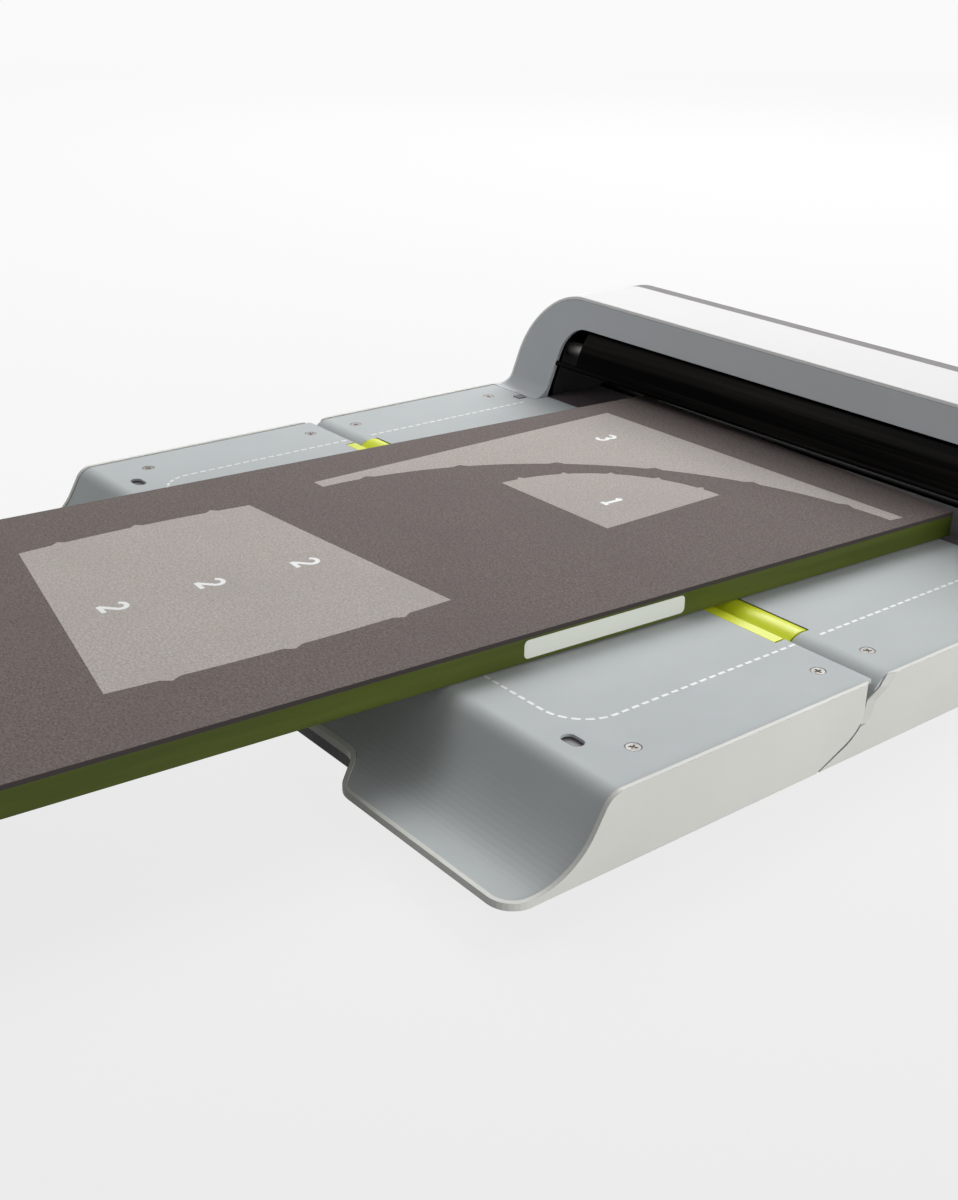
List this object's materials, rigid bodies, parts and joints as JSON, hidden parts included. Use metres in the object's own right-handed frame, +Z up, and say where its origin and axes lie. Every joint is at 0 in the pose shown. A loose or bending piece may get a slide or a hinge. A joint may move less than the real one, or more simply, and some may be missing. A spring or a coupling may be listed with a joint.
{
  "type": "electric die cutting machine",
  "caption": "Electric roller die cutting machine with a long folding wing at the feed side and a short folding flap behind, loaded with a long steel-rule die board.",
  "frame": {"origin": "On the table under the middle of the base, at the underside of the central rubber foot.", "axes": "+Z up; X along the rollers with the controls on the +X side; -Y is the feed side, where the die board is loaded."},
  "size_m": [0.4575, 0.9598, 0.1148],
  "materials": {
    "housing_white": "satin",
    "gloss_white": "gloss",
    "deck_grey": "satin",
    "face_grey": "satin",
    "black_plastic": "satin",
    "smoked": "smoked gloss",
    "plate_black": "black paint",
    "steel": "satin",
    "roller_steel": "ground",
    "bronze": "sintered",
    "rubber": "matt",
    "motor_grey": "satin",
    "cast_grey": "matt",
    "circuit_green": "satin",
    "gear_nylon": "satin",
    "lime": "gloss",
    "board_green": "painted board",
    "foam_dark": "foam",
    "foam_light": "foam",
    "button_green": "gloss",
    "button_red": "gloss",
    "button_white": "gloss"
  },
  "bodies": {
    "machine": {"base_tray": "housing_white", "front_shelf_deck": "deck_grey", "rear_shelf_deck": "deck_grey", "front_platen": "black_plastic", "rear_platen": "black_plastic", "front_face": "face_grey", "rear_face": "face_grey", "top_cover": "gloss_white", "front_visor": "smoked", "rear_visor": "smoked", "left_side_plate": "plate_black", "right_side_plate": "plate_black", "tie_rods": "steel", "roller_bushes": "bronze", "front_hinge_pin": "steel", "rear_hinge_pin": "steel", "base_feet": "rubber", "seam_blocks": "rubber", "shelf_screws": "steel", "motor": "motor_grey", "gearbox": "cast_grey", "motor_bracket": "steel", "idler_stud": "steel", "control_board": "circuit_green", "power_supply": "cast_grey", "mains_inlet": "black_plastic", "switch_frame": "black_plastic", "button_panel": "black_plastic", "button_board": "circuit_green"},
    "front_wing": {"front_wing_shell": "housing_white", "front_wing_deck": "deck_grey", "front_hinge_barrel": "lime", "front_wing_foot": "rubber", "front_wing_screws": "steel"},
    "rear_wing": {"rear_wing_shell": "housing_white", "rear_wing_deck": "deck_grey", "rear_hinge_barrel": "lime", "rear_wing_foot": "rubber", "rear_wing_screws": "steel"},
    "low_roller": {"lower_roller": "roller_steel", "drive_gear": "cast_grey"},
    "top_roller": {"upper_roller": "roller_steel"},
    "idler": {"idler_gear": "gear_nylon"},
    "pinion": {"motor_pinion": "cast_grey"},
    "die": {"die_board": "board_green", "die_foam": "foam_dark", "die_patches": "foam_light"},
    "forward_key": {"forward_button": "button_green"},
    "stop_key": {"stop_button": "button_red"},
    "reverse_key": {"reverse_button": "button_white"},
    "power_key": {"mains_rocker": "black_plastic"}
  },
  "joints": [
    {"name": "die_feed", "type": "slide", "parent": "machine", "child": "die", "axis": [0, -1, 0], "range_m": [-0.64, 0]},
    {"name": "front_wing_fold", "type": "hinge", "parent": "machine", "child": "front_wing", "pos_m": [0, -0.2094, 0.032], "axis": [-1, 0, 0], "range_deg": [0, 0.15]},
    {"name": "rear_wing_fold", "type": "hinge", "parent": "machine", "child": "rear_wing", "pos_m": [0, 0.2094, 0.032], "axis": [1, 0, 0], "range_deg": [0, 90]},
    {"name": "lower_roller_spin", "type": "hinge", "parent": "machine", "child": "low_roller", "pos_m": [0, 0, 0.0295], "axis": [1, 0, 0], "continuous": true},
    {"name": "upper_roller_spin", "type": "hinge", "parent": "machine", "child": "top_roller", "pos_m": [0, 0, 0.0813], "axis": [1, 0, 0], "continuous": true},
    {"name": "idler_spin", "type": "hinge", "parent": "machine", "child": "idler", "pos_m": [0.2, 0.03245, 0.0355], "axis": [1, 0, 0], "continuous": true},
    {"name": "motor_spin", "type": "hinge", "parent": "machine", "child": "pinion", "pos_m": [0.2, 0.05949, 0.0265], "axis": [1, 0, 0], "continuous": true},
    {"name": "forward_press", "type": "slide", "parent": "machine", "child": "forward_key", "axis": [0, 0, -1], "range_m": [0, 0.0016], "stiffness_N_per_m": 400, "springref_m": -0.002},
    {"name": "stop_press", "type": "slide", "parent": "machine", "child": "stop_key", "axis": [0, 0, -1], "range_m": [0, 0.0016], "stiffness_N_per_m": 400, "springref_m": -0.002},
    {"name": "reverse_press", "type": "slide", "parent": "machine", "child": "reverse_key", "axis": [0, 0, -1], "range_m": [0, 0.0016], "stiffness_N_per_m": 400, "springref_m": -0.002},
    {"name": "power_switch_rock", "type": "hinge", "parent": "machine", "child": "power_key", "pos_m": [0.2248, 0.148, 0.0265], "axis": [0, 0, 1], "range_deg": [-12, 12]}
  ],
  "couplings": [
    {"joint": "lower_roller_spin", "follows": "die_feed", "rad_per_m": 66.667},
    {"joint": "upper_roller_spin", "follows": "die_feed", "rad_per_m": -50},
    {"joint": "idler_spin", "follows": "die_feed", "rad_per_m": -55.556},
    {"joint": "motor_spin", "follows": "die_feed", "rad_per_m": 95.238}
  ]
}
